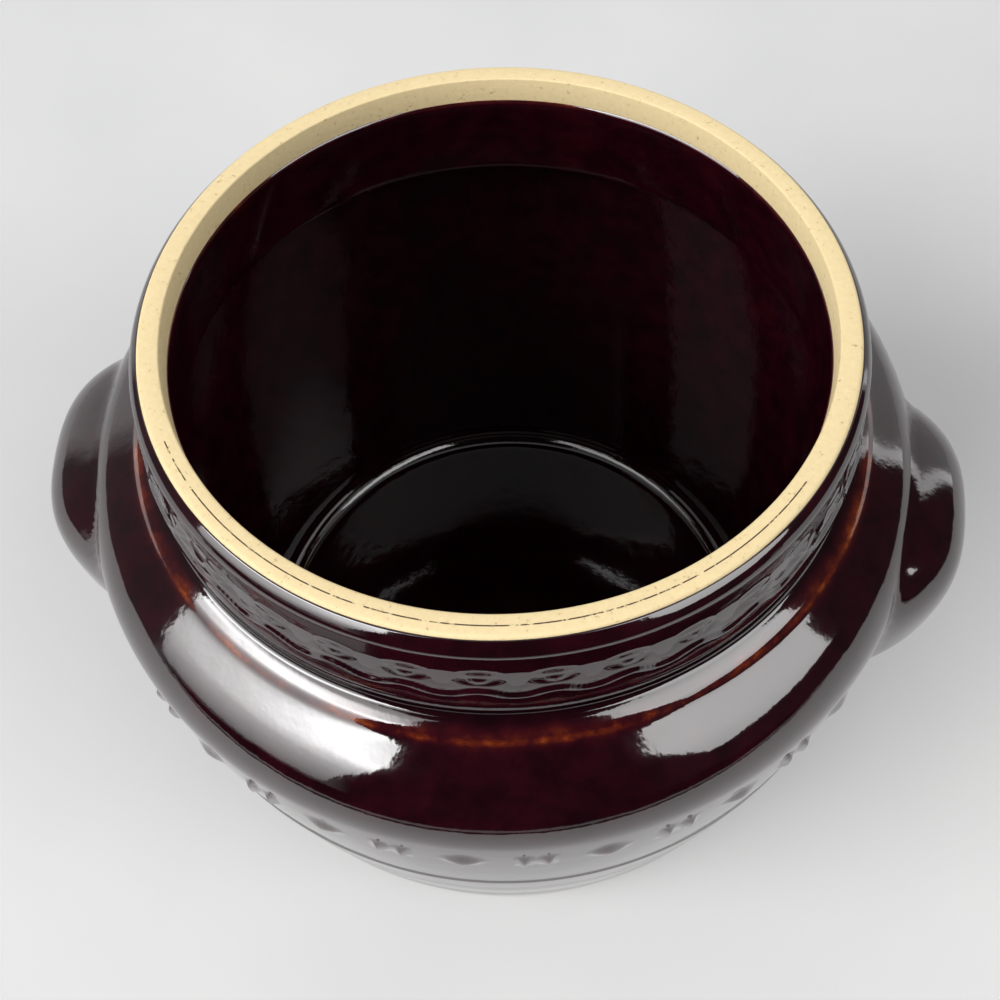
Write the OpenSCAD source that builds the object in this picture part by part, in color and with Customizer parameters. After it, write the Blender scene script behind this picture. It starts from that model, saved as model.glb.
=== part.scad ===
// Stoneware bean pot. A wide open pot on a flat foot, with a straight flared
// neck, a waved band round the neck, two lug handles and a glossy brown glaze
// inside and out. The flat lip, the band just inside it and the foot are bare clay.
// All sizes are millimetres. The foot stands on z = 0 and the right lug points to +X.

/* [Pot] */
// Height from the foot to the flat lip
pot_h = 164; // [156:1:176]
// Largest diameter of the clay belly
belly_d = 185; // [180:1:192]
// Diameter that the tapering wall would reach at the foot plane
base_d = 157; // [150:1:164]
// How late the wall turns in towards the foot, 1 is a straight cone
belly_curve = 1.65; // [1.3:0.05:2]
// Radius of the outer corner between wall and foot
bottom_round = 6; // [4:0.5:8]

/* [Lip] */
// Outer diameter of the bare lip
lip_d = 140; // [136:1:144]
// Width of the flat lip
lip_w = 4.4; // [3.6:0.1:5.2]
// Radius of the lip's outer edge
lip_round = 0.8; // [0.4:0.1:1.2]
// Height of the bare cylindrical band inside the mouth
bare_h = 5.8; // [4:0.1:8]

/* [Neck] */
// Height of the flared neck wall, from the lip to its lower edge
neck_h = 20.3; // [18:0.1:23]
// Diameter of the neck wall at its lower edge
neck_d = 148; // [144:0.5:151]
// Depth of the step under the neck wall
neck_step = 0.9; // [0.5:0.1:1.2]
// Height of the hollow cove between neck and shoulder
cove_h = 6.4; // [5:0.1:8]
// Diameter at the foot of the cove, where the shoulder starts
cove_d = 149.5; // [148.5:0.5:152]

/* [Shoulder] */
// Slope of the shoulder below the horizontal, in degrees
shoulder_slope = 32; // [28:1:36]
// Radius of the corner between shoulder and belly
shoulder_round = 18; // [15:0.5:19]

/* [Clay walls] */
// Thickness of the belly wall
wall_t = 4.5; // [3.5:0.1:6]
// Thickness of the shoulder
shoulder_t = 5; // [4:0.1:6]
// Thickness of the floor over the recess of the foot
floor_t = 4.5; // [3.5:0.1:7]
// Inner diameter of the neck at its lower end
throat_d = 140; // [137:0.5:142]
// Radius of the edge where the neck opens into the belly
throat_round = 3; // [1:0.5:4]
// Radius of the hollow under the shoulder
hollow_round = 13.5; // [10:0.5:15]
// Radius between the wall and the floor inside
floor_round = 7; // [4:0.5:10]

/* [Foot] */
// Width of the ring that the pot stands on
foot_ring_w = 9; // [6:0.5:14]
// Depth of the recess under the floor
foot_rise = 2; // [1:0.1:3]

/* [Glaze] */
// Thickness of the glaze coats
coat_t = 0.5; // [0.3:0.05:0.7]
// Height of the bare clay left at the foot
bare_foot_h = 4; // [2:0.5:8]

/* [Lugs] */
// Width of a lug round the pot, with its soft roots
lug_w = 60; // [52:1:66]
// Height of a lug with its soft roots
lug_h = 44; // [36:1:46]
// How far a lug stands out from the belly
lug_reach = 12.5; // [9:0.5:16]
// How far the middle of the lugs lies below the widest ring of the belly
lug_drop = 10.5; // [9:0.5:14]
// How far the middle of the lugs stands in front of the middle of the pot
lug_forward = 11.5; // [6:0.5:14]

/* [Waved band] */
// Number of waves round the neck
wave_n = 35; // [24:1:40]
// Depth of the waved band's middle line below the lip
wave_drop = 11.3; // [10.5:0.1:12]
// How far the upper edge swings up and down
wave_swing_top = 1.7; // [1:0.1:2]
// How far the lower edge swings up and down
wave_swing_low = 0.9; // [0.4:0.1:1.2]
// Middle height of the waved band
wave_h = 5.4; // [4.6:0.1:6]
// How far the waved band stands out
wave_proud = 1; // [0.6:0.1:1.4]
// Width of the beads in the eyes of the waves
bead_w = 3.2; // [2:0.1:4]
// Height of the beads
bead_h = 1.5; // [1:0.1:2]
// How far the beads stand out
bead_proud = 0.8; // [0.5:0.1:1]

/* [Rings] */
// Height of the glazed roll under the lip
roll_h = 2.2; // [1.6:0.1:2.6]
// How far the glazed roll stands out
roll_proud = 0.6; // [0.3:0.1:0.9]
// Width of the ring at the top of the shoulder
crest_w = 4.6; // [3:0.1:6]
// How far that ring stands up from the shoulder
crest_proud = 1.3; // [0.6:0.1:1.8]
// Number of fine rings round the belly
belly_ring_n = 3; // [1:1:3]
// Height of the lowest fine ring above the foot
belly_ring_z = 42; // [36:1:44]
// Distance between the fine rings
belly_ring_pitch = 18; // [16:1:19]
// Height of a fine ring
belly_ring_h = 1.8; // [1.2:0.1:2.4]
// How far the fine rings stand out
belly_ring_proud = 0.35; // [0.2:0.05:0.6]

/* [Belly ornament] */
// Number of ornament places round the whole belly
motif_n = 20; // [12:2:24]
// How far the ornament's middle lies below the widest ring of the belly
motif_drop = 9.5; // [7:0.5:12]
// Width of a lozenge stud
stud_w = 8.4; // [5:0.1:11]
// Height of a lozenge stud
stud_h = 9.6; // [6:0.1:11]
// Width of an upright bar
bar_w = 2.4; // [1.6:0.1:3.2]
// Height of an upright bar
bar_h = 8; // [5:0.1:11]
// Distance between the two bars of a pair
bar_gap = 4.6; // [3.6:0.1:6]
// How far the ornament stands out
motif_proud = 1; // [0.5:0.1:1.4]

/* [Hidden] */

clay_colour = [0.93, 0.83, 0.62];
glaze_colour = [0.16, 0.04, 0.04];
relief_colour = [0.3, 0.1, 0.06];

// Smoothness of the turned shapes and of their arcs
turn_fn = 96;
arc_steps = 8;
shoulder_steps = 12;
wall_steps = 12;

// Radii of the turned profile
lip_r = lip_d / 2;
mouth_r = lip_r - lip_w;
neck_r = neck_d / 2;
cove_r = cove_d / 2;
belly_r = belly_d / 2;
base_r = base_d / 2;
throat_r = throat_d / 2;

// Heights of the turned profile
neck_z = pot_h - neck_h;
cove_z = neck_z - cove_h;
step_h = neck_step * 0.7;
// How the neck wall flares: the part of its height and of its flare reached at each bend
neck_bends = [[0.197, 0.3625], [0.37, 0.425], [0.714, 0.8625]];
shoulder_end_r = belly_r - shoulder_round * (1 - sin(shoulder_slope));
shoulder_end_z = cove_z - (shoulder_end_r - cove_r) * tan(shoulder_slope);
belly_z = shoulder_end_z - shoulder_round * cos(shoulder_slope);
floor_z = foot_rise + floor_t;

// Middle heights of the lugs and of the belly ornament
lug_z = belly_z - lug_drop;
motif_z = belly_z - motif_drop;

// Thin feathered edge of a glaze coat, and the height over which it thickens
coat_edge_t = 0.12;
coat_feather = 1.6;
// Edge height of the small raised ornaments
relief_edge_t = 0.15;
// Width of the belly on each side of a lug that stays free of ornament
lug_free_w = 6;

function unit(v) = v / norm(v);
function clamp(v, low, high) = max(low, min(high, v));

// Points on an arc round a centre, from one angle to another
function arc(centre, r, from, to, steps) =
    [for (i = [0:steps]) let (a = from + (to - from) * i / steps) centre + r * [cos(a), sin(a)]];

// Arc that rounds the corner b between a and c
function rounded(a, b, c, r, steps) =
    let (u = unit(a - b),
         v = unit(c - b),
         half = acos(u * v) / 2,
         centre = b + unit(u + v) * r / sin(half),
         start = b + u * r / tan(half) - centre,
         end = b + v * r / tan(half) - centre,
         from = atan2(start[1], start[0]),
         turn = atan2(start[0] * end[1] - start[1] * end[0], start * end))
    arc(centre, r, from, from + turn, steps);

// Radius of the clay belly at a height, below its widest ring
function belly_at(z) =
    belly_r - (belly_r - base_r) * pow(max(0, belly_z - z) / belly_z, belly_curve);
// Inward lean of the wall at a height, in degrees
function lean_at(z) = atan(belly_at(z + 0.5) - belly_at(z - 0.5));

// Outer corner between the wall and the foot
bottom_lean = lean_at(bottom_round);
bottom_z = bottom_round * (1 - sin(bottom_lean));
bottom_centre = [belly_at(bottom_z) - bottom_round * cos(bottom_lean), bottom_round];
foot_r = bottom_centre[0];
recess_r = foot_r - foot_ring_w;

// Outside of the clay, from the lip down to the foot
cove_top = [neck_r - neck_step, neck_z - step_h];
outside = concat(
    arc([lip_r - lip_round, pot_h - lip_round], lip_round, 90, 0, arc_steps / 2),
    [for (b = neck_bends) [lip_r + (neck_r - lip_r) * b[1], pot_h - neck_h * b[0]]],
    [[neck_r, neck_z]],
    [for (i = [0:arc_steps - 1])
        let (a = 90 * i / arc_steps)
        [cove_top[0] + (cove_r - cove_top[0]) * (1 - cos(a)),
         cove_top[1] - (cove_top[1] - cove_z) * sin(a)]],
    [[cove_r, cove_z]],
    arc([belly_r - shoulder_round, belly_z], shoulder_round, 90 - shoulder_slope, 0,
        shoulder_steps),
    [for (i = [1:wall_steps - 1])
        let (z = belly_z + (bottom_z - belly_z) * i / wall_steps) [belly_at(z), z]],
    arc(bottom_centre, bottom_round, -bottom_lean, -90, arc_steps));

// Inside of the clay, from the bare band down to the middle of the floor
throat_z = cove_z - (throat_r - cove_r) * tan(shoulder_slope) - shoulder_t / cos(shoulder_slope);
hollow_r = belly_at(belly_z) - wall_t;
hollow_z = throat_z - (hollow_r - throat_r) * tan(shoulder_slope);
floor_lean = lean_at(floor_z + floor_round);
floor_corner_z = floor_z + floor_round * (1 - sin(floor_lean));
floor_centre = [belly_at(floor_corner_z) - wall_t - floor_round * cos(floor_lean),
                floor_z + floor_round];
hollow_end_z = hollow_z - hollow_round;
inside = concat(
    [[mouth_r, pot_h - bare_h]],
    rounded([mouth_r, pot_h - bare_h], [throat_r, throat_z], [hollow_r, hollow_z],
            throat_round, arc_steps),
    rounded([throat_r, throat_z], [hollow_r, hollow_z], [hollow_r, hollow_end_z],
            hollow_round, arc_steps),
    [for (i = [1:wall_steps - 1])
        let (z = hollow_end_z + (floor_corner_z - hollow_end_z) * i / wall_steps)
        [belly_at(z) - wall_t, z]],
    arc(floor_centre, floor_round, -floor_lean, -90, arc_steps),
    [[0, floor_z]]);

// Direction square to a profile at one of its points, outwards for one drawn downwards
function square_to(path, i) =
    let (d = unit(path[min(i + 1, len(path) - 1)] - path[max(i - 1, 0)])) [-d[1], d[0]];

// Outer coat: its clay side and its outer face, with feathered edges
coat_top_z = pot_h - lip_round;
coated = [for (p = outside) if (p[1] < coat_top_z + 0.01 && p[1] > bare_foot_h) p];
function coat_at(z, top_z, low_z) =
    coat_edge_t + (coat_t - coat_edge_t) * clamp(min(top_z - z, z - low_z) / coat_feather, 0, 1);
skin = [for (i = [0:len(coated) - 1])
    coated[i] + square_to(coated, i) * coat_at(coated[i][1], coat_top_z, bare_foot_h)];

// Radius of the clay and of the glazed surface at a height
clay_table = [for (p = coated) [p[1], p[0]]];
skin_table = [for (p = skin) [p[1], p[0]]];
function clay_r_at(z) = lookup(z, clay_table);
function skin_r_at(z) = lookup(z, skin_table);

// Distance of a turned surface from the plane x = 0
function depth_at(r, y) = sqrt(max(0, r * r - y * y));

// Soft mound that starts level at its edge, 0 there and 1 in the middle
root_softness = 0.12;
function mound(v) = pow(v * v * (1 + root_softness) / (v + root_softness), 0.75);

// Outline of a swelling: a rounded rectangle, an ellipse or a lozenge
function power_of(v, e) = sign(v) * pow(abs(v), e);
function outline(w, h, ey, ez, n) =
    [for (i = [0:n - 1]) let (a = 360 * i / n)
        [w / 2 * power_of(cos(a), 2 / ey), h / 2 * power_of(sin(a), 2 / ez)]];

// Faces between two closed rows of points
function band_faces(first, second, n) =
    [for (i = [0:n - 1]) let (k = (i + 1) % n)
        each [[first + i, first + k, second + k], [first + i, second + k, second + i]]];
function fan_faces(row, tip, n, flip) =
    [for (i = [0:n - 1]) let (k = (i + 1) % n)
        flip ? [row + k, row + i, tip] : [row + i, row + k, tip]];

// A raised form on the +X side of the pot, whose back lies on a turned surface.
// out_t adds height at its edge, proud is its height in the middle.
module swelling(w, h, ey, ez, z_mid, proud, out_t, on_clay, n, rings, seat_rings, y_mid = 0) {
    edge = outline(w, h, ey, ez, n);
    row_f = [for (j = [0:rings - 1]) 1 - j / rings];
    seat_f = [for (j = [0:seat_rings - 1]) 1 - j / seat_rings];
    function face_x(p) =
        depth_at(skin_r_at(z_mid + p[1]), y_mid + p[0]) + out_t
        + (proud - out_t) * mound(clamp(1 - pow(abs(2 * p[0] / w), ey)
                                          - pow(abs(2 * p[1] / h), ez), 0, 1));
    function back_x(p) =
        depth_at(on_clay ? clay_r_at(z_mid + p[1]) : skin_r_at(z_mid + p[1]), y_mid + p[0]);
    face_points = [for (f = row_f) for (p = edge)
        [face_x(f * p), y_mid + f * p[0], z_mid + f * p[1]]];
    back_points = [for (f = seat_f) for (p = edge)
        [back_x(f * p), y_mid + f * p[0], z_mid + f * p[1]]];
    tips = [[face_x([0, 0]), y_mid, z_mid], [back_x([0, 0]), y_mid, z_mid]];
    back = rings * n;
    tip = back + seat_rings * n;
    polyhedron(
        points = concat(face_points, back_points, tips),
        faces = concat(
            [for (j = [0:rings - 2]) each band_faces((j + 1) * n, j * n, n)],
            fan_faces((rings - 1) * n, tip, n, true),
            band_faces(0, back, n),
            [for (j = [0:seat_rings - 2]) each band_faces(back + j * n, back + (j + 1) * n, n)],
            fan_faces(back + (seat_rings - 1) * n, tip + 1, n, false)),
        convexity = 6);
}

// Shape of a lug: a wide rounded ear with a straight front
lug_square = 3.5;
lug_fullness = 2.7;
lug_n = 48;

module lug() {
    swelling(lug_w, lug_h, lug_square, lug_fullness, lug_z, lug_reach, 0, true, lug_n, 12, 9,
             -lug_forward);
}

// The place of a lug cut through a coat or a ring
module lug_window() {
    for (side = [0, 1])
        mirror([side, 0, 0])
            translate([belly_r / 2, -lug_forward, lug_z])
                rotate([90, 0, 90])
                    linear_extrude(height = belly_r)
                        polygon(outline(lug_w, lug_h, lug_square, lug_fullness, lug_n));
}

// A ring that lies on the glazed surface between two heights
ring_steps = 6;
module ring(z_mid, h, proud) {
    rotate_extrude($fn = turn_fn)
        polygon(concat(
            [for (i = [0:ring_steps])
                let (z = z_mid + h * (0.5 - i / ring_steps)) [skin_r_at(z), z]],
            [for (i = [ring_steps - 1:-1:1])
                let (z = z_mid + h * (0.5 - i / ring_steps))
                [skin_r_at(z) + proud * sin(180 * i / ring_steps), z]]));
}

module body() {
    color(clay_colour)
        rotate_extrude($fn = turn_fn)
            polygon(concat(
                outside,
                [[recess_r, 0], [recess_r - foot_rise, foot_rise], [0, foot_rise]],
                [for (i = [len(inside) - 1:-1:0]) inside[i]],
                [[mouth_r, pot_h]]));
}

module outer_glaze() {
    color(glaze_colour)
        difference() {
            rotate_extrude($fn = turn_fn)
                polygon(concat(skin, [for (i = [len(coated) - 1:-1:0]) coated[i]]));
            lug_window();
        }
}

module inner_glaze() {
    lining = [for (i = [0:len(inside) - 1])
        inside[i] - (i == len(inside) - 1 ? [0, -1] : square_to(inside, i))
                    * coat_at(inside[i][1], pot_h - bare_h, -coat_feather)];
    color(glaze_colour)
        rotate_extrude($fn = turn_fn)
            polygon(concat(inside, [for (i = [len(lining) - 1:-1:0]) lining[i]]));
}

module left_lug() {
    color(glaze_colour) mirror([1, 0, 0]) lug();
}

module right_lug() {
    color(glaze_colour) lug();
}

module rim_roll() {
    color(glaze_colour) ring(coat_top_z - coat_feather / 2 - roll_h / 2, roll_h, roll_proud);
}

// The waved band: an upper and a lower edge that swing together, a ridge between
// them that leans to the lower edge, and an eye pressed in under each crest
wave_sides = 8;
wave_turn_n = wave_n * 7;
eye_depth = 0.75;
eye_mid = 0.36;
eye_half = 0.26;
// Turn of the band round the neck, so that its crests sit as they should from the front
wave_turn = 2.4;
function swing_at(a) = cos(wave_n * (a + 90));
function wave_top_at(a) = pot_h - wave_drop + wave_h / 2 + wave_swing_top * swing_at(a);
function wave_low_at(a) = pot_h - wave_drop - wave_h / 2 + wave_swing_low * swing_at(a);
function eye_at(a, u) =
    eye_depth * max(0, swing_at(a)) * max(0, 1 - pow((u - eye_mid) / eye_half, 2));
function wave_out(a, u) =
    wave_proud * pow(max(0, sin(180 * pow(u, 0.6))), 0.6) * (1 - eye_at(a, u));

module neck_wave() {
    points = [for (i = [0:wave_turn_n - 1])
        let (a = 360 * i / wave_turn_n - 90)
        for (j = [0:wave_sides])
            let (u = j / wave_sides,
                 z = wave_low_at(a) + (wave_top_at(a) - wave_low_at(a)) * u,
                 r = skin_r_at(z) + wave_out(a, u))
            [r * cos(a), r * sin(a), z]];
    row = wave_sides + 1;
    color(relief_colour)
        rotate([0, 0, wave_turn])
            polyhedron(
                points = points,
                faces = [for (i = [0:wave_turn_n - 1])
                    let (here = i * row, next = ((i + 1) % wave_turn_n) * row)
                    each concat(
                        [for (j = [0:wave_sides - 1])
                            each [[here + j, here + j + 1, next + j + 1],
                                  [here + j, next + j + 1, next + j]]],
                        [[here + wave_sides, here, next],
                         [here + wave_sides, next, next + wave_sides]])],
                convexity = 10);
}

module wave_beads() {
    bead_z = pot_h - wave_drop - wave_h * (0.5 - eye_mid) + wave_swing_low;
    color(relief_colour)
        for (i = [0:wave_n - 1])
            rotate([0, 0, 360 * i / wave_n - 90 + wave_turn])
                swelling(bead_w, bead_h, 2, 2, bead_z, bead_proud, relief_edge_t, false, 8, 2, 1);
}

module crest_ring() {
    along = [cos(shoulder_slope), -sin(shoulder_slope)];
    up = [sin(shoulder_slope), cos(shoulder_slope)];
    start = [cove_r, cove_z] + up * coat_t + along * 0.4;
    color(relief_colour)
        rotate_extrude($fn = turn_fn)
            polygon(concat(
                [for (i = [0:arc_steps])
                    start + along * crest_w * i / arc_steps
                          + up * crest_proud * sin(180 * i / arc_steps)]));
}

module belly_rings() {
    color(relief_colour)
        difference() {
            union() {
                for (i = [0:belly_ring_n - 1])
                    ring(belly_ring_z + belly_ring_pitch * i, belly_ring_h, belly_ring_proud);
            }
            lug_window();
        }
}

// Ornament places round the belly, leaving out those under the lugs
function is_free(a) = abs(belly_r * sin(a) + lug_forward) > lug_w / 2 + lug_free_w;
stud_angles = [for (i = [0:motif_n - 1]) let (a = 360 * i / motif_n) if (is_free(a)) a];
bar_angles = [for (i = [0:motif_n - 1]) let (a = 360 * (i + 0.5) / motif_n) if (is_free(a)) a];

module belly_studs() {
    color(relief_colour)
        for (a = stud_angles)
            rotate([0, 0, a])
                swelling(stud_w, stud_h, 1.3, 1.3, motif_z, motif_proud, relief_edge_t,
                         false, 16, 3, 2);
}

module belly_bars() {
    half_turn = asin(bar_gap / 2 / belly_r);
    color(relief_colour)
        for (a = bar_angles)
            for (side = [-1, 1])
                rotate([0, 0, a + side * half_turn])
                    swelling(bar_w, bar_h, 2.5, 4, motif_z, motif_proud, relief_edge_t,
                             false, 12, 2, 1);
}

body();
outer_glaze();
inner_glaze();
left_lug();
right_lug();
rim_roll();
neck_wave();
wave_beads();
crest_ring();
belly_rings();
belly_studs();
belly_bars();
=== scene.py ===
"""Stoneware bean pot: the glazed pot, its bare lip, a pale table and soft window light.

Sizes are millimetres until a mesh is made, and metres in the scene. The pot stands on
z = 0, the right lug points to +X and the camera stands on the -Y side. The pot is three
turned skins: the glazed outside with its lugs and ornament, the glazed inside and the clay.
"""
import math

import bpy
import numpy as np
from mathutils import Matrix, Vector


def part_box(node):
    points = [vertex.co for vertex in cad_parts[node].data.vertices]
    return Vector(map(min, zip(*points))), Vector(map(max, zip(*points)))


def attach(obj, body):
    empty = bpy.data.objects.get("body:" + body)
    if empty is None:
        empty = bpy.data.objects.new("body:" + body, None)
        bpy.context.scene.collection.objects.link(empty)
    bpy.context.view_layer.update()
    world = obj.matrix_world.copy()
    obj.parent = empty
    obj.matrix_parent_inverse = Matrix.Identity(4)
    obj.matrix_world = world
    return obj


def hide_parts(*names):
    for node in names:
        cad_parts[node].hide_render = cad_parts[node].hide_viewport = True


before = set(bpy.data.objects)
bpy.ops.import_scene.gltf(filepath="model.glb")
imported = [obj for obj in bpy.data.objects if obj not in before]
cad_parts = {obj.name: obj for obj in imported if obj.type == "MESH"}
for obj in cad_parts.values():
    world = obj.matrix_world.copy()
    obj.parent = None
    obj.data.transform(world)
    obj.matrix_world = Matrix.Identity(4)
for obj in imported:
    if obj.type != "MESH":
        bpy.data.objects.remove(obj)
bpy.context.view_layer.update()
MM = 0.001

# ---------------------------------------------------------------- the pot's own sizes

POT_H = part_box("body")[1][2] / MM
BELLY_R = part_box("body")[1][0] / MM
LIP_R = 70.0
LIP_W = 4.4
LIP_ROUND = 0.8
LIP_INNER_ROUND = 0.35
# The thin dark line on the lip: its radius, its width and how far back it runs
LIP_LINE_R = 67.8
LIP_LINE_W = 0.26
LIP_LINE_END_Y = -36.0
BARE_H = 5.8
NECK_H = 20.3
NECK_R = 74.0
NECK_STEP = 0.9
# Bends of the neck wall: share of its height below the lip, share of its flare there
NECK_BENDS = ((0.197, 0.3625), (0.37, 0.425), (0.714, 0.8625))
COVE_H = 6.4
COVE_R = 74.75
COVE_LEAN = 0.7
SHOULDER_SLOPE = math.radians(32)
SHOULDER_ROUND = 18.0
BASE_R = 78.5
BELLY_CURVE = 1.65
BOTTOM_ROUND = 6.0
COAT_T = 0.5
# The coat thins towards its edges: share left at an edge, and the run of the slope behind it
COAT_EDGE_SHARE = 0.2
COAT_EDGE_RUN = 1.6
# How widely glaze and wear melt the corners: of the outside, of the coat on it, of the inside
OUTSIDE_MELT = 0.3
COAT_MELT = 0.12
INSIDE_MELT = 0.4
BARE_FOOT_H = 1.5
WALL_T = 4.5
SHOULDER_T = 5.0
FLOOR_Z = 6.5
FLOOR_ROUND = 7.0
FLOOR_FLAT_R = 40.0
THROAT_R = 70.0
THROAT_ROUND = 3.0
HOLLOW_ROUND = 13.5
FOOT_RING_W = 9.0
FOOT_RISE = 2.0
# Where the glaze hides the clay of the neck, the clay draws back
HIDDEN_SINK = 0.6
HIDDEN_TOP_DEPTH = 4.0

LUG_W = 60.0
LUG_H = 44.0
LUG_REACH = 12.5
LUG_DROP = 10.5
LUG_FORWARD = 11.5
LUG_SQUARE = 3.5
LUG_FULLNESS = 2.7
ROOT_SOFTNESS = 0.12

WAVE_N = 35
WAVE_TURN = math.radians(2.4)
WAVE_SWING = 1.1
EYE_DEPTH = 0.24
EYE_DROP = 11.4
EYE_LONG = 4.8
EYE_TALL = 1.3
BEAD_W = 3.2
BEAD_H = 1.5
BEAD_PROUD = 0.32

# Fine relief of the glazed neck: depth below the lip, and how much the glaze adds or gives
NECK_RELIEF = ((0.8, 0.0), (1.4, 0.15), (3.3, 0.5), (3.9, 0.43), (4.4, 0.25), (7.5, 0.05),
               (9.6, -0.4), (13.8, -0.2), (14.3, -0.38), (15.2, 0.26), (17.0, 0.16),
               (20.3, -0.06))
# Depths between which that relief takes up the swing of the waves, and leaves it again
SWING_DEPTHS = (7.0, 10.0, 15.5, 18.5)

# Fine relief of the crest: way down the shoulder from the cove, and how much is added
CREST_RELIEF = ((-1.8, 0.0), (-0.4, 0.38), (0.6, 0.5), (2.6, 0.58), (3.3, 0.45), (4.7, 0.05),
                (5.6, 0.0))
# Where the glaze runs thin and rusty on the crest: a narrow streak in a wide band
RUST_STREAK_MID = 3.7
RUST_STREAK_W = 1.7
RUST_BAND_MID = 2.9
RUST_BAND_W = 3.4
# How far the rust may reach above and below the foot of the cove
RUST_ABOVE = 2.5
RUST_BELOW = 5.0
# Where painted shade makes the glaze nearly black in the cove, above its foot
COVE_SHADE_MID = 3.4
COVE_SHADE_W = 4.5

RING_Z = (42.0, 60.0, 78.0)
RING_H = 1.8
RING_PROUD = 0.35

MOTIF_N = 20
MOTIF_DROP = 9.5
STUD_W = 8.4
STUD_H = 9.6
BAR_W = 2.4
BAR_H = 8.0
BAR_GAP = 4.6
MOTIF_PROUD = 1.0
LUG_FREE_W = 6.0

NECK_Z = POT_H - NECK_H
COVE_Z = NECK_Z - COVE_H
MOUTH_R = LIP_R - LIP_W
COAT_TOP_Z = POT_H - LIP_ROUND
COVE_FOOT = np.array([COVE_R, COVE_Z])
SHOULDER_DIR = np.array([math.cos(SHOULDER_SLOPE), -math.sin(SHOULDER_SLOPE)])
CORNER_R = BELLY_R - SHOULDER_ROUND
SHOULDER_END_R = CORNER_R + SHOULDER_ROUND * math.sin(SHOULDER_SLOPE)
SHOULDER_END_Z = COVE_Z - (SHOULDER_END_R - COVE_R) * math.tan(SHOULDER_SLOPE)
BELLY_Z = SHOULDER_END_Z - SHOULDER_ROUND * math.cos(SHOULDER_SLOPE)
LUG_Z = BELLY_Z - LUG_DROP
MOTIF_Z = BELLY_Z - MOTIF_DROP


def belly_at(z):
    """Radius of the clay belly at a height below its widest ring."""
    drop = np.maximum(0.0, BELLY_Z - z) / BELLY_Z
    return BELLY_R - (BELLY_R - BASE_R) * drop ** BELLY_CURVE


def arc(centre, radius, start, end, steps):
    """Points on an arc, angles in degrees."""
    angles = np.radians(np.linspace(start, end, steps + 1))
    return [(centre[0] + radius * math.cos(a), centre[1] + radius * math.sin(a)) for a in angles]


def lean_at(z):
    """Inward lean of the wall at a height, in degrees."""
    return math.degrees(math.atan(belly_at(z + 0.5) - belly_at(z - 0.5)))


def wall_points(top, low, inset, steps):
    """The belly wall between two heights, without its two ends."""
    heights = np.linspace(top, low, steps + 1)[1:-1]
    return [(belly_at(z) - inset, z) for z in heights]


def outside_outline():
    """Outside of the clay from the lip's outer edge down to the foot."""
    bottom_lean = lean_at(BOTTOM_ROUND)
    bottom_z = BOTTOM_ROUND * (1 - math.sin(math.radians(bottom_lean)))
    bottom_r = belly_at(bottom_z) - BOTTOM_ROUND * math.cos(math.radians(bottom_lean))
    cove_top = (NECK_R - NECK_STEP, NECK_Z - NECK_STEP * COVE_LEAN)
    cove = []
    for a in np.radians(np.linspace(0, 90, 13)):
        cove.append((cove_top[0] + (COVE_R - cove_top[0]) * (1 - math.cos(a)),
                     cove_top[1] - (cove_top[1] - COVE_Z) * math.sin(a)))
    points = arc((LIP_R - LIP_ROUND, POT_H - LIP_ROUND), LIP_ROUND, 90, 0, 4)
    points += [(LIP_R + (NECK_R - LIP_R) * flare, POT_H - NECK_H * drop)
               for drop, flare in NECK_BENDS]
    points += [(NECK_R, NECK_Z)] + cove
    points += arc((CORNER_R, BELLY_Z), SHOULDER_ROUND, 90 - math.degrees(SHOULDER_SLOPE), 0, 40)
    points += wall_points(BELLY_Z, bottom_z, 0.0, 40)
    points += arc((bottom_r, BOTTOM_ROUND), BOTTOM_ROUND, -bottom_lean, -90, 8)
    return points


def rounded(a, b, c, radius, steps):
    """Arc that rounds the corner b between a and c."""
    a, b, c = (np.array(p, float) for p in (a, b, c))
    u = (a - b) / np.linalg.norm(a - b)
    v = (c - b) / np.linalg.norm(c - b)
    half = math.acos(float(u @ v)) / 2
    centre = b + (u + v) / np.linalg.norm(u + v) * radius / math.sin(half)
    start = b + u * radius / math.tan(half) - centre
    end = b + v * radius / math.tan(half) - centre
    first = math.degrees(math.atan2(start[1], start[0]))
    turn = math.degrees(math.atan2(start[0] * end[1] - start[1] * end[0], float(start @ end)))
    return arc(centre, radius, first, first + turn, steps)


def inside_outline():
    """Inside of the clay from the bare band down to the middle of the floor."""
    slope = math.tan(SHOULDER_SLOPE)
    throat_z = COVE_Z - (THROAT_R - COVE_R) * slope - SHOULDER_T / math.cos(SHOULDER_SLOPE)
    hollow_r = BELLY_R - WALL_T
    hollow_z = throat_z - (hollow_r - THROAT_R) * slope
    lean = lean_at(FLOOR_Z + FLOOR_ROUND)
    corner_z = FLOOR_Z + FLOOR_ROUND * (1 - math.sin(math.radians(lean)))
    corner_r = belly_at(corner_z) - WALL_T - FLOOR_ROUND * math.cos(math.radians(lean))
    top = (MOUTH_R, POT_H - BARE_H)
    throat = (THROAT_R, throat_z)
    hollow = (hollow_r, hollow_z)
    points = [top]
    points += rounded(top, throat, hollow, THROAT_ROUND, 8)
    points += rounded(throat, hollow, (hollow_r, hollow_z - HOLLOW_ROUND), HOLLOW_ROUND, 16)
    points += wall_points(hollow_z - 10, corner_z, WALL_T, 30)
    points += arc((corner_r, FLOOR_Z + FLOOR_ROUND), FLOOR_ROUND, -lean, -90, 10)
    points += [(FLOOR_FLAT_R, FLOOR_Z), (0.0, FLOOR_Z)]
    return points


# ---------------------------------------------------------------- outline tools

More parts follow.
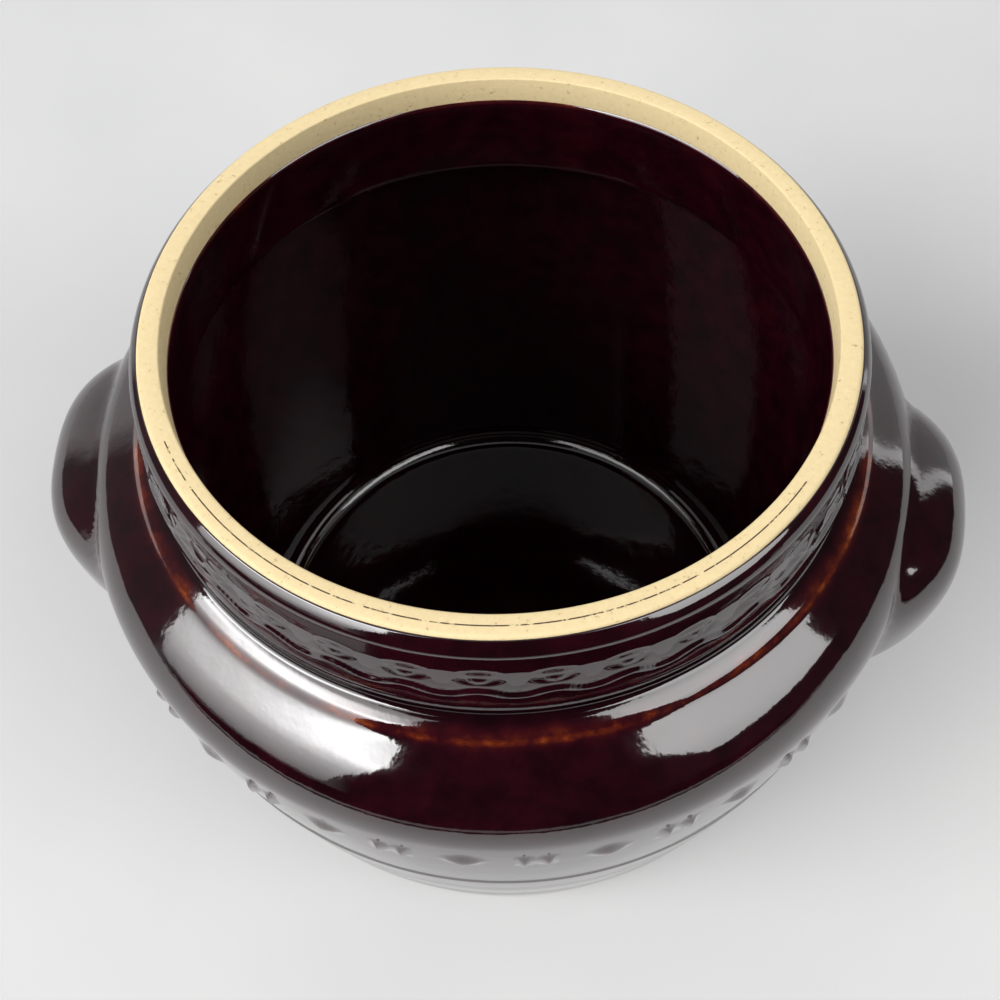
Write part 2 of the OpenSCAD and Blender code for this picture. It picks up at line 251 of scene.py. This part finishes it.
def resampled(points, spacing_at):
    """The same outline with points spaced as spacing_at(r, z) asks."""
    points = np.array(points, float)
    steps = np.linalg.norm(np.diff(points, axis=0), axis=1)
    along = np.concatenate([[0.0], np.cumsum(steps)])
    marks = [0.0]
    while marks[-1] < along[-1]:
        r = np.interp(marks[-1], along, points[:, 0])
        z = np.interp(marks[-1], along, points[:, 1])
        marks.append(marks[-1] + spacing_at(r, z))
    marks = np.array(marks) * along[-1] / marks[-1]
    return np.stack([np.interp(marks, along, points[:, k]) for k in (0, 1)], axis=1)


def softened(points, width, steps=4000):
    """The outline with its corners melted round, as glaze leaves them."""
    points = np.array(points, float)
    lengths = np.linalg.norm(np.diff(points, axis=0), axis=1)
    along = np.concatenate([[0.0], np.cumsum(lengths)])
    even = np.linspace(0, along[-1], steps)
    dense = np.stack([np.interp(even, along, points[:, k]) for k in (0, 1)], axis=1)
    reach = int(3 * width / (even[1] - even[0])) + 1
    offsets = np.arange(-reach, reach + 1) * (even[1] - even[0])
    weights = np.exp(-0.5 * (offsets / width) ** 2)
    weights /= weights.sum()
    padded = np.concatenate([2 * dense[:1] - dense[reach:0:-1], dense,
                             2 * dense[-1:] - dense[-2:-reach - 2:-1]])
    smooth = [np.convolve(padded[:, k], weights, mode="valid") for k in (0, 1)]
    return np.stack(smooth, axis=1)


def normals_of(points):
    """Direction square to each point of an outline, outwards for one drawn downwards."""
    d = np.gradient(points, axis=0)
    d /= np.linalg.norm(d, axis=1)[:, None]
    return np.stack([-d[:, 1], d[:, 0]], axis=1)


def bump(v, half):
    """Smooth round bump of height 1 and half width half."""
    return np.where(np.abs(v) < half, np.cos(v / half * math.pi / 2) ** 2, 0.0)


# ---------------------------------------------------------------- modelling tools

def clear_selection():
    if bpy.context.object and bpy.context.object.mode != "OBJECT":
        bpy.ops.object.mode_set(mode="OBJECT")
    bpy.ops.object.select_all(action="DESELECT")


def turned(name, outline, steps):
    """Pull a ring of points into a closed outline, then spin it round the pot's axis."""
    clear_selection()
    bpy.ops.mesh.primitive_circle_add(vertices=len(outline), radius=0.1, fill_type="NOTHING")
    piece = bpy.context.object
    piece.name = name
    write_points(piece, np.array([(r * MM, 0, z * MM) for r, z in outline]))
    bpy.ops.object.modifier_add(type="SCREW")
    screw = piece.modifiers[-1]
    screw.axis = "Z"
    screw.angle = 2 * math.pi
    screw.steps = steps
    screw.render_steps = steps
    screw.use_merge_vertices = True
    screw.merge_threshold = 2e-6
    bpy.ops.object.modifier_apply(modifier=screw.name)
    bpy.ops.object.mode_set(mode="EDIT")
    bpy.ops.mesh.select_all(action="SELECT")
    bpy.ops.mesh.normals_make_consistent(inside=False)
    bpy.ops.object.mode_set(mode="OBJECT")
    bpy.ops.object.shade_smooth()
    return piece


def read_points(piece):
    co = np.empty(len(piece.data.vertices) * 3)
    piece.data.vertices.foreach_get("co", co)
    return co.reshape(-1, 3)


def write_points(piece, co):
    piece.data.vertices.foreach_set("co", co.ravel())
    piece.data.update()


def write_attribute(piece, name, values):
    layer = piece.data.attributes.new(name, "FLOAT", "POINT")
    layer.data.foreach_set("value", np.ascontiguousarray(values, dtype=np.float32))


# ---------------------------------------------------------------- the raised forms

def mound(v):
    """Soft mound that starts level at its edge, 0 there and 1 in the middle."""
    v = np.clip(v, 0.0, 1.0)
    return (v * v * (1 + ROOT_SOFTNESS) / (v + ROOT_SOFTNESS)) ** 0.75


def wave_shift(turn, z):
    """How far the neck's fine relief swings up, which makes the band a waved one."""
    depth = POT_H - z
    share = np.interp(depth, SWING_DEPTHS, (0.0, 1.0, 1.0, 0.0))
    return WAVE_SWING * share * np.cos(WAVE_N * (turn + math.pi / 2 - WAVE_TURN))


def wave_height(turn, z):
    """The leaf-shaped eyes and the beads under the crests of the waved band."""
    pitch = 2 * math.pi / WAVE_N
    side = ((turn + math.pi / 2 - WAVE_TURN + pitch / 2) % pitch - pitch / 2) * NECK_R
    rise = z - (POT_H - EYE_DROP)
    leaf = 1 - (np.abs(side) / EYE_LONG) ** 1.5 - (rise / EYE_TALL) ** 2
    eye = EYE_DEPTH * np.clip(leaf, 0, 1) ** 0.8
    return BEAD_PROUD * mound(1 - (side / (BEAD_W / 2)) ** 2 - (rise / (BEAD_H / 2)) ** 2) - eye


def motif_height(turn, z, r):
    """Relief of the lozenge studs and the pairs of bars round the belly."""
    free = np.abs(BELLY_R * np.sin(turn) + LUG_FORWARD) > LUG_W / 2 + LUG_FREE_W
    pitch = 2 * math.pi / MOTIF_N
    stud_side = ((turn + pitch / 2) % pitch - pitch / 2) * r
    bar_side = (turn % pitch - pitch / 2) * r
    rise = np.abs(z - MOTIF_Z)
    stud = 1 - (np.abs(stud_side) / (STUD_W / 2)) ** 1.3 - (rise / (STUD_H / 2)) ** 1.3
    off = np.abs(np.abs(bar_side) - BAR_GAP / 2)
    bar = 1 - (off / (BAR_W / 2)) ** 2.5 - (rise / (BAR_H / 2)) ** 4
    return np.where(free, MOTIF_PROUD * np.maximum(mound(stud), mound(bar)), 0.0)


def lug_height(y, z):
    """How far a lug stands out from the belly."""
    q = (np.abs(y + LUG_FORWARD) / (LUG_W / 2)) ** LUG_SQUARE
    q = q + (np.abs(z - LUG_Z) / (LUG_H / 2)) ** LUG_FULLNESS
    return LUG_REACH * mound(1 - q)


# ---------------------------------------------------------------- the glazed outside

OUTSIDE_TURN_STEPS = 480
INSIDE_TURN_STEPS = 288
# Spacing of the points on the hidden backs of the coats and on the glazed inside
OUTSIDE_BACK_STEP = 6.5
INSIDE_BACK_STEP = 6.0
INSIDE_STEP = 1.2
# A point further out than this from the clay belongs to the coat's outer face
FACE_GAP = 0.04


def coat_at(edge):
    """Thickness of the glaze at a way in from its edge."""
    return COAT_T * np.clip(COAT_EDGE_SHARE + edge / COAT_EDGE_RUN, 0.0, 1.0)


def way_down_shoulder(points):
    """How far points lie from the foot of the cove, along the shoulder's slope."""
    return (points - COVE_FOOT) @ SHOULDER_DIR


def outside_spacing(r, z):
    """Finer points where the fine relief is, and wide ones on the plain wall."""
    if z > NECK_Z:
        return 0.38
    if z > COVE_Z - 2.5:
        return 0.45
    if z > LUG_Z - LUG_H / 2 - 1:
        return 1.0
    near_ring = min(abs(z - ring_z) for ring_z in RING_Z) < RING_H
    return 0.6 if near_ring else 3.4


def outside_skin():
    """The clay outside and the glazed outside with its turned rings, from lip to foot."""
    clay = softened(outside_outline(), OUTSIDE_MELT)
    keep = (clay[:, 1] < COAT_TOP_Z) & (clay[:, 1] > BARE_FOOT_H)
    clay = clay[keep]
    out = normals_of(clay)
    edge = np.minimum(COAT_TOP_Z - clay[:, 1], clay[:, 1] - BARE_FOOT_H)
    depths, reliefs = zip(*NECK_RELIEF)
    lift = coat_at(edge) + np.interp(POT_H - clay[:, 1], depths, reliefs, right=0.0)
    for ring_z in RING_Z:
        lift += RING_PROUD * bump(clay[:, 1] - ring_z, RING_H / 2)
    places, reliefs = zip(*CREST_RELIEF)
    crest = np.interp(way_down_shoulder(clay), places, reliefs)
    lift += np.where(clay[:, 1] < COVE_Z + 1.5, crest, 0.0)
    skin = softened(clay + out * lift[:, None], COAT_MELT)
    return clay, resampled(skin, outside_spacing)


def rust_share(r, z):
    """How rusty the glaze is where it runs thin over the crest of the shoulder."""
    down = way_down_shoulder(np.stack([r, z], axis=1))
    rust = np.maximum(0.9 * bump(down - RUST_STREAK_MID, RUST_STREAK_W),
                      0.62 * bump(down - RUST_BAND_MID, RUST_BAND_W))
    return np.where((z < COVE_Z + RUST_ABOVE) & (z > COVE_Z - RUST_BELOW), rust, 0.0)


def make_outer_glaze():
    """The glazed outside, which runs over the ornament and the lugs in one skin."""
    clay, skin = outside_skin()
    back = resampled(clay, lambda r, z: OUTSIDE_BACK_STEP)[::-1]
    outline = [tuple(p) for p in skin] + [tuple(p) for p in back]
    piece = turned("glazed_outside", outline, OUTSIDE_TURN_STEPS)
    co = read_points(piece) / MM
    r = np.hypot(co[:, 0], co[:, 1])
    z = co[:, 2]
    turn = np.arctan2(co[:, 1], co[:, 0])
    upward = clay[::-1]
    is_face = r > np.interp(z, upward[:, 1], upward[:, 0]) + FACE_GAP
    raised = np.where(is_face, wave_height(turn, z) + motif_height(turn, z, r), 0.0)
    upward = skin[::-1]
    waved = np.interp(z - wave_shift(turn, z), upward[:, 1], upward[:, 0])
    waved -= np.interp(z, upward[:, 1], upward[:, 0])
    wide = r + raised + np.where(is_face & (z > NECK_Z + 1), waved, 0.0)
    co[:, 0] = wide * np.cos(turn)
    co[:, 1] = wide * np.sin(turn)
    lug = np.where(is_face & (np.abs(co[:, 0]) > BELLY_R / 2), lug_height(co[:, 1], z), 0.0)
    co[:, 0] += np.sign(co[:, 0]) * lug
    write_points(piece, co * MM)
    # Painted shade: the glaze colour goes nearly black in the cove, where the cove lies in
    # shadow
    cove_shade = bump(z - (COVE_Z + COVE_SHADE_MID), COVE_SHADE_W)
    thin_and_shade = 0.2 * (1 - cove_shade) + 0.8 * rust_share(r, z) + 0.3 * raised
    write_attribute(piece, "thin_and_shade", np.clip(thin_and_shade, 0, 1))
    return piece


def make_inner_glaze():
    """The glazed inside, from below the bare band to the middle of the floor."""
    clay = softened(inside_outline()[:-1], INSIDE_MELT)
    coat = coat_at(POT_H - BARE_H - clay[:, 1])
    skin = resampled(clay - normals_of(clay) * coat[:, None], lambda r, z: INSIDE_STEP)
    back = resampled(clay, lambda r, z: INSIDE_BACK_STEP)[::-1]
    outline = [(0.0, FLOOR_Z + COAT_T)] + [tuple(p) for p in skin[::-1]]
    outline += [tuple(p) for p in back[::-1]] + [(0.0, FLOOR_Z)]
    piece = turned("glazed_inside", outline, INSIDE_TURN_STEPS)
    z = read_points(piece)[:, 2] / MM
    edge = np.clip(1 - (POT_H - BARE_H - z) / 1.2, 0, 1)
    write_attribute(piece, "thin_and_shade", 0.24 + 0.45 * edge)
    return piece


def make_clay():
    """The bare clay, which draws back a little where the glaze of the neck hides it."""
    edge_r = MOUTH_R + LIP_INNER_ROUND
    edge_z = POT_H - LIP_INNER_ROUND
    lip = [(edge_r, POT_H)] + arc((edge_r, edge_z), LIP_INNER_ROUND, 90, 180, 4)[1:]
    inner = inside_outline()
    outer = [(r - HIDDEN_SINK if COVE_Z < z < POT_H - HIDDEN_TOP_DEPTH else r, z)
             for r, z in outside_outline()]
    recess_r = outer[-1][0] - FOOT_RING_W
    outline = [(0.0, FLOOR_Z)] + [tuple(p) for p in inner[:-1][::-1]]
    outline += [tuple(p) for p in lip[::-1]] + [tuple(p) for p in outer]
    outline += [(recess_r, 0.0), (recess_r - FOOT_RISE, FOOT_RISE), (0.0, FOOT_RISE)]
    return turned("clay_pot", outline, INSIDE_TURN_STEPS)


# ---------------------------------------------------------------- materials

def new_material(name):
    material = bpy.data.materials.new(name)
    material.use_nodes = True
    tree = material.node_tree
    shader = tree.nodes["Principled BSDF"]
    return material, tree, shader


def add_node(tree, kind, **settings):
    node = tree.nodes.new(kind)
    for key, value in settings.items():
        setattr(node, key, value)
    return node


def noise(tree, coords, scale, detail, roughness=0.5):
    node = add_node(tree, "ShaderNodeTexNoise")
    node.inputs["Scale"].default_value = scale
    node.inputs["Detail"].default_value = detail
    node.inputs["Roughness"].default_value = roughness
    tree.links.new(coords, node.inputs["Vector"])
    return node.outputs["Fac"]


def math_node(tree, operation, *values):
    """A math node fed with sockets or plain numbers."""
    node = add_node(tree, "ShaderNodeMath", operation=operation)
    for socket, value in zip(node.inputs, values):
        if isinstance(value, (int, float)):
            socket.default_value = value
        else:
            tree.links.new(value, socket)
    return node.outputs["Value"]


def blend(tree, share, first, second):
    """Colour that goes from first to second, each a socket or a plain colour."""
    node = add_node(tree, "ShaderNodeMix", data_type="RGBA")
    tree.links.new(share, node.inputs["Factor"])
    for socket, colour in zip((node.inputs[6], node.inputs[7]), (first, second)):
        if isinstance(colour, tuple):
            socket.default_value = (*colour, 1.0)
        else:
            tree.links.new(colour, socket)
    return node.outputs[2]


def add_relief(tree, shader, height, strength, distance):
    """Fine unevenness of a surface."""
    relief = add_node(tree, "ShaderNodeBump")
    relief.inputs["Strength"].default_value = strength
    relief.inputs["Distance"].default_value = distance
    tree.links.new(height, relief.inputs["Height"])
    tree.links.new(relief.outputs["Normal"], shader.inputs["Normal"])


def ramp(tree, factor, stops):
    """Colour ramp with (place, colour) stops."""
    node = add_node(tree, "ShaderNodeValToRGB")
    elements = node.color_ramp.elements
    while len(elements) < len(stops):
        elements.new(0.5)
    for element, (place, colour) in zip(elements, stops):
        element.position = place
        element.color = (*colour, 1.0)
    tree.links.new(factor, node.inputs["Fac"])
    return node.outputs["Color"]


def glaze_material():
    """Maroon brown glaze: nearly black where shade is painted in the cove, rusty in patches
    where it is thin.
    """
    material, tree, shader = new_material("brown_glaze")
    coords = add_node(tree, "ShaderNodeTexCoord").outputs["Object"]
    # This attribute holds the glaze's thinness, lowered in the cove by painted shade
    thin_and_shade = add_node(tree, "ShaderNodeAttribute", attribute_name="thin_and_shade").outputs["Fac"]
    patches = add_node(tree, "ShaderNodeMapRange")
    patches.inputs["From Min"].default_value = 0.38
    patches.inputs["From Max"].default_value = 0.66
    patches.inputs["To Min"].default_value = 0.35
    patches.inputs["To Max"].default_value = 1.15
    tree.links.new(noise(tree, coords, 130.0, 6.0, 0.65), patches.inputs["Value"])
    patchy = math_node(tree, "MULTIPLY", thin_and_shade, patches.outputs["Result"])
    colour = ramp(tree, patchy, [
        (0.0, (0.003, 0.0006, 0.0014)),
        (0.18, (0.014, 0.0012, 0.0034)),
        (0.42, (0.03, 0.003, 0.0045)),
        (0.68, (0.08, 0.011, 0.004)),
        (1.0, (0.22, 0.048, 0.01))])
    tree.links.new(colour, shader.inputs["Base Color"])
    shader.inputs["Roughness"].default_value = 0.06
    shader.inputs["IOR"].default_value = 1.8
    add_relief(tree, shader, noise(tree, coords, 130.0, 4.0), 0.08, 0.001)
    return material


def lip_line(tree, coords):
    """Share of the thin broken line that runs round the front of the lip."""
    split = add_node(tree, "ShaderNodeSeparateXYZ")
    tree.links.new(coords, split.inputs[0])
    radius = math_node(tree, "SQRT", math_node(
        tree, "MULTIPLY_ADD", split.outputs["X"], split.outputs["X"],
        math_node(tree, "MULTIPLY", split.outputs["Y"], split.outputs["Y"])))
    off_line = math_node(tree, "ABSOLUTE", math_node(
        tree, "SUBTRACT", radius, LIP_LINE_R * MM))
    line = math_node(tree, "LESS_THAN", off_line, LIP_LINE_W / 2 * MM)
    front = math_node(tree, "LESS_THAN", split.outputs["Y"], LIP_LINE_END_Y * MM)
    on_lip = math_node(tree, "GREATER_THAN", split.outputs["Z"], (POT_H - 0.2) * MM)
    broken = math_node(tree, "GREATER_THAN", noise(tree, coords, 420.0, 6.0, 0.8), 0.45)
    return math_node(tree, "MULTIPLY", math_node(tree, "MULTIPLY", line, front),
                     math_node(tree, "MULTIPLY", on_lip, broken))


def clay_material():
    """Cream stoneware with fine specks and the thin dark line on the lip."""
    material, tree, shader = new_material("bare_clay")
    coords = add_node(tree, "ShaderNodeTexCoord").outputs["Object"]
    speck = noise(tree, coords, 900.0, 3.0, 0.7)
    colour = ramp(tree, speck, [
        (0.28, (0.4, 0.26, 0.12)),
        (0.36, (0.68, 0.54, 0.3)),
        (0.6, (0.71, 0.57, 0.32)),
        (0.8, (0.75, 0.62, 0.37))])
    lined = blend(tree, lip_line(tree, coords), colour, (0.06, 0.03, 0.015))
    tree.links.new(lined, shader.inputs["Base Color"])
    shader.inputs["Roughness"].default_value = 0.75
    add_relief(tree, shader, speck, 0.3, 0.0003)
    return material


def table_material():
    """Pale table. A painted reflection: in the glaze it is painted dark beyond a front edge,
    with a paler painted board beyond it.
    """
    material, tree, shader = new_material("pale_table")
    coords = add_node(tree, "ShaderNodeTexCoord").outputs["Object"]
    cloud = noise(tree, coords, 9.0, 3.0)
    colour = ramp(tree, cloud, [(0.3, (0.58, 0.58, 0.585)), (0.7, (0.615, 0.615, 0.612))])
    tree.links.new(colour, shader.inputs["Base Color"])
    shader.inputs["Roughness"].default_value = 0.6
    split = add_node(tree, "ShaderNodeSeparateXYZ")
    tree.links.new(coords, split.inputs[0])
    place = math_node(tree, "ADD", split.outputs["Y"], 1.0)
    far = ramp(tree, place, [(1 + y, (share,) * 3) for y, share in (
        (BOARD_FAR_Y, 1), (BOARD_FAR_Y + EDGE_SOFT, BOARD_DARK),
        (BOARD_NEAR_Y - EDGE_SOFT, BOARD_DARK), (BOARD_NEAR_Y, 1),
        (TABLE_EDGE_Y - EDGE_SOFT, 1), (TABLE_EDGE_Y, 0))])
    # Painted reflection: glossy rays see the table mixed towards a dark emission beyond its
    # front edge, and partly over the board
    mirrored = add_node(tree, "ShaderNodeLightPath").outputs["Is Glossy Ray"]
    share = math_node(tree, "MULTIPLY", far, mirrored)
    dark = add_node(tree, "ShaderNodeEmission")
    dark.inputs["Color"].default_value = (0.012, 0.008, 0.009, 1)
    mix = add_node(tree, "ShaderNodeMixShader")
    tree.links.new(share, mix.inputs[0])
    tree.links.new(shader.outputs[0], mix.inputs[1])
    tree.links.new(dark.outputs[0], mix.inputs[2])
    tree.links.new(mix.outputs[0], tree.nodes["Material Output"].inputs["Surface"])
    return material


def paint(piece, material):
    piece.data.materials.clear()
    piece.data.materials.append(material)


# ---------------------------------------------------------------- the stage, in metres

TABLE_SIZE = 2.4

CAMERA_AT = (0.01674, -0.14090, 0.33042)
CAMERA_FORWARD = (-0.06415, 0.50303, -0.86188)
CAMERA_RIGHT = (0.99585, 0.08808, -0.02271)
CAMERA_LENS = 39.9
SENSOR_W = 36.0

# Where the painted reflection ends the table in front and puts a pale board beyond it, as the
# glaze mirrors them; the camera sees the whole table
TABLE_EDGE_Y = -0.29
BOARD_NEAR_Y = -0.319
BOARD_FAR_Y = -0.364
BOARD_DARK = 0.45
EDGE_SOFT = 0.004


def add_camera():
    data = bpy.data.cameras.new("camera")
    data.lens = CAMERA_LENS
    data.sensor_width = SENSOR_W
    data.clip_start = 0.01
    camera = bpy.data.objects.new("camera", data)
    bpy.context.scene.collection.objects.link(camera)
    forward = Vector(CAMERA_FORWARD).normalized()
    right = Vector(CAMERA_RIGHT)
    right = (right - forward * right.dot(forward)).normalized()
    up = right.cross(forward)
    turn = Matrix((right, up, -forward)).transposed()
    camera.matrix_world = Matrix.Translation(CAMERA_AT) @ turn.to_4x4()
    bpy.context.scene.camera = camera


def add_table():
    clear_selection()
    bpy.ops.mesh.primitive_plane_add(size=TABLE_SIZE, location=(0, 0, 0))
    table = bpy.context.object
    table.name = "table"
    paint(table, table_material())


# Both windows face a point on the pot's axis, at this height and from this far away
AIM_Z = 0.1
WINDOW_DISTANCE = 4.0
# A window's share of light by place, from its low edge at 0 to its top at 1
LEFT_FADE = ((0.0, 0.08), (0.285, 0.27), (0.43, 0.42), (0.55, 0.8), (0.65, 1.5), (0.76, 0.9),
             (0.84, 0.3), (1.0, 0.2))
RIGHT_FADE = ((0.0, 0.75), (0.3, 0.9), (0.5, 1.0), (0.7, 0.9), (1.0, 0.7))


def fade_window(data, rise, height, fade):
    """Let the light of a window change from its low edge to its top."""
    data.use_nodes = True
    tree = data.node_tree
    split = add_node(tree, "ShaderNodeSeparateXYZ")
    tree.links.new(add_node(tree, "ShaderNodeNewGeometry").outputs["Position"], split.inputs[0])
    middle = AIM_Z + WINDOW_DISTANCE * math.sin(rise)
    tall = height * math.cos(rise)
    share = math_node(tree, "MULTIPLY_ADD", split.outputs["Z"], 1 / tall, 0.5 - middle / tall)
    shade = ramp(tree, share, [(place, (light,) * 3) for place, light in fade])
    tree.links.new(shade, tree.nodes["Emission"].inputs["Strength"])


def add_window(name, turn_deg, rise_deg, width, height, radiance, fade, roll_deg=0):
    """A soft window that faces the pot, placed by compass turn and rise."""
    turn = math.radians(turn_deg)
    rise = math.radians(rise_deg)
    data = bpy.data.lights.new(name, "AREA")
    data.shape = "RECTANGLE"
    data.size = width
    data.size_y = height
    data.energy = radiance * width * height * math.pi
    fade_window(data, rise, height, fade)
    lamp = bpy.data.objects.new(name, data)
    bpy.context.scene.collection.objects.link(lamp)
    place = Vector((math.cos(turn) * math.cos(rise), math.sin(turn) * math.cos(rise),
                    math.sin(rise))) * WINDOW_DISTANCE
    lamp.location = place + Vector((0, 0, AIM_Z))
    aim = (-place).to_track_quat("-Z", "Y").to_matrix()
    lamp.rotation_euler = (aim @ Matrix.Rotation(math.radians(roll_deg), 3, "Z")).to_euler()
    lamp.visible_camera = False


# The room round the table: light by compass turn, in degrees from +X
ROOM = [(-180, 0.09), (-166, 0.09), (-164, 0.3), (-121, 0.3), (-117, 0.012), (-57, 0.012),
        (-50, 0.03), (27, 0.03), (27.5, 2.0), (30, 2.0), (31, 0.5), (155, 0.7),
        (160, 0.12), (180, 0.09)]
CEILING = (0.42, 0.42, 0.42)
# Height of the looking direction where the walls give way to the ceiling, which starts
# higher in front
CEILING_FROM = 0.72
CEILING_TO = 0.80
CEILING_TILT = 0.6
BACKDROP = (0.72, 0.72, 0.72)


def light_room():
    """A pale wall at the back with a bright strip at its right end, and a pale ceiling.

    The front left is dim, and the rest of the room is dark. The camera itself sees a plain
    pale backdrop.
    """
    world = bpy.data.worlds.new("room")
    bpy.context.scene.world = world
    world.use_nodes = True
    tree = world.node_tree
    split = add_node(tree, "ShaderNodeSeparateXYZ")
    tree.links.new(add_node(tree, "ShaderNodeTexCoord").outputs["Generated"], split.inputs[0])
    turn = math_node(tree, "ARCTAN2", split.outputs["Y"], split.outputs["X"])
    share = math_node(tree, "MULTIPLY_ADD", turn, 0.5 / math.pi, 0.5)
    walls = ramp(tree, share, [((deg + 180) / 360, (light,) * 3) for deg, light in ROOM])
    height = add_node(tree, "ShaderNodeMapRange", interpolation_type="SMOOTHSTEP")
    height.inputs["From Min"].default_value = CEILING_FROM
    height.inputs["From Max"].default_value = CEILING_TO
    front = math_node(tree, "MINIMUM", split.outputs["Y"], 0.0)
    tilted = math_node(tree, "MULTIPLY_ADD", front, CEILING_TILT, split.outputs["Z"])
    tree.links.new(tilted, height.inputs["Value"])
    room = blend(tree, height.outputs["Result"], walls, CEILING)
    by_camera = add_node(tree, "ShaderNodeLightPath").outputs["Is Camera Ray"]
    tree.links.new(blend(tree, by_camera, room, BACKDROP),
                   tree.nodes["Background"].inputs["Color"])


def light_scene():
    light_room()
    add_window("left_window", -142, 29, 3.4, 4.8, 9.2, LEFT_FADE)
    add_window("right_window", -28.5, 39, 2.5, 3.2, 4.7, RIGHT_FADE, 8)


# ---------------------------------------------------------------- put together

def main():
    bpy.context.scene.view_settings.view_transform = "Standard"
    add_camera()
    glaze = glaze_material()
    clay = clay_material()
    outside = make_outer_glaze()
    paint(outside, glaze)
    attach(outside, "root")
    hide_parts("outer_glaze", "left_lug", "right_lug", "rim_roll", "neck_wave",
                "wave_beads", "crest_ring", "belly_rings", "belly_studs", "belly_bars")
    inside = make_inner_glaze()
    paint(inside, glaze)
    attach(inside, "root")
    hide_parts("inner_glaze")
    pot = make_clay()
    paint(pot, clay)
    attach(pot, "root")
    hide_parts("body")
    add_table()
    light_scene()


main()
